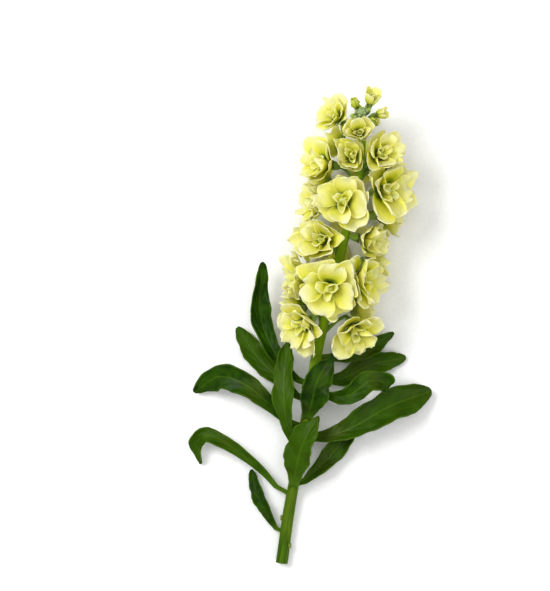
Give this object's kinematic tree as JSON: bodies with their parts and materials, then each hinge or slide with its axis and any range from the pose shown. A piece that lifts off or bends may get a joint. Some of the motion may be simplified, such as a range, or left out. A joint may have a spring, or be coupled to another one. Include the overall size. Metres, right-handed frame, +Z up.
{
  "type": "stock flower stem",
  "caption": "Cut stem of double-flowered stock lying on its side, with pale lemon blooms, opening buds, a green bud tip and soft strap leaves.",
  "frame": {"origin": "middle of the bounding box, on the surface that the stem lies on", "axes": "+Y from the cut end towards the buds at the tip, +Z up from the surface"},
  "size_m": [0.1774, 0.3456, 0.0729],
  "materials": {
    "stem_green": "satin",
    "leaf_green": "satin",
    "bud_green": "matt, downy",
    "petal_cream": "matt",
    "petal_young": "matt"
  },
  "bodies": {
    "root": {"stem": "stem_green", "bloom_01": "petal_cream", "bloom_02": "petal_cream", "bloom_03": "petal_cream", "bloom_04": "petal_cream", "bloom_05": "petal_cream", "bloom_06": "petal_cream", "bloom_07": "petal_cream", "bloom_08": "petal_cream", "bloom_09": "petal_cream", "bloom_10": "petal_cream", "bloom_11": "petal_cream", "bloom_12": "petal_cream", "bloom_13": "petal_cream", "bloom_14": "petal_cream", "bloom_15": "petal_cream", "bloom_16": "petal_cream", "bloom_17": "petal_cream", "bloom_18": "petal_cream", "bloom_19": "petal_cream", "bloom_20": "petal_cream", "bloom_21": "petal_cream", "bloom_22": "petal_cream", "bloom_23": "petal_cream", "bloom_24": "petal_cream", "bloom_25": "petal_cream", "opening_01": "petal_cream", "opening_02": "petal_cream", "opening_03": "petal_cream", "opening_04": "petal_cream", "young_01": "petal_young", "young_02": "petal_young", "young_03": "petal_young", "bud_cluster": "bud_green", "leaf_01": "leaf_green", "leaf_02": "leaf_green", "leaf_03": "leaf_green", "leaf_04": "leaf_green", "leaf_05": "leaf_green", "leaf_06": "leaf_green", "leaf_07": "leaf_green", "leaf_08": "leaf_green", "leaf_09": "leaf_green", "leaf_10": "leaf_green", "leaf_11": "leaf_green", "leaf_12": "leaf_green", "leaf_13": "leaf_green"}
  },
  "joints": []
}
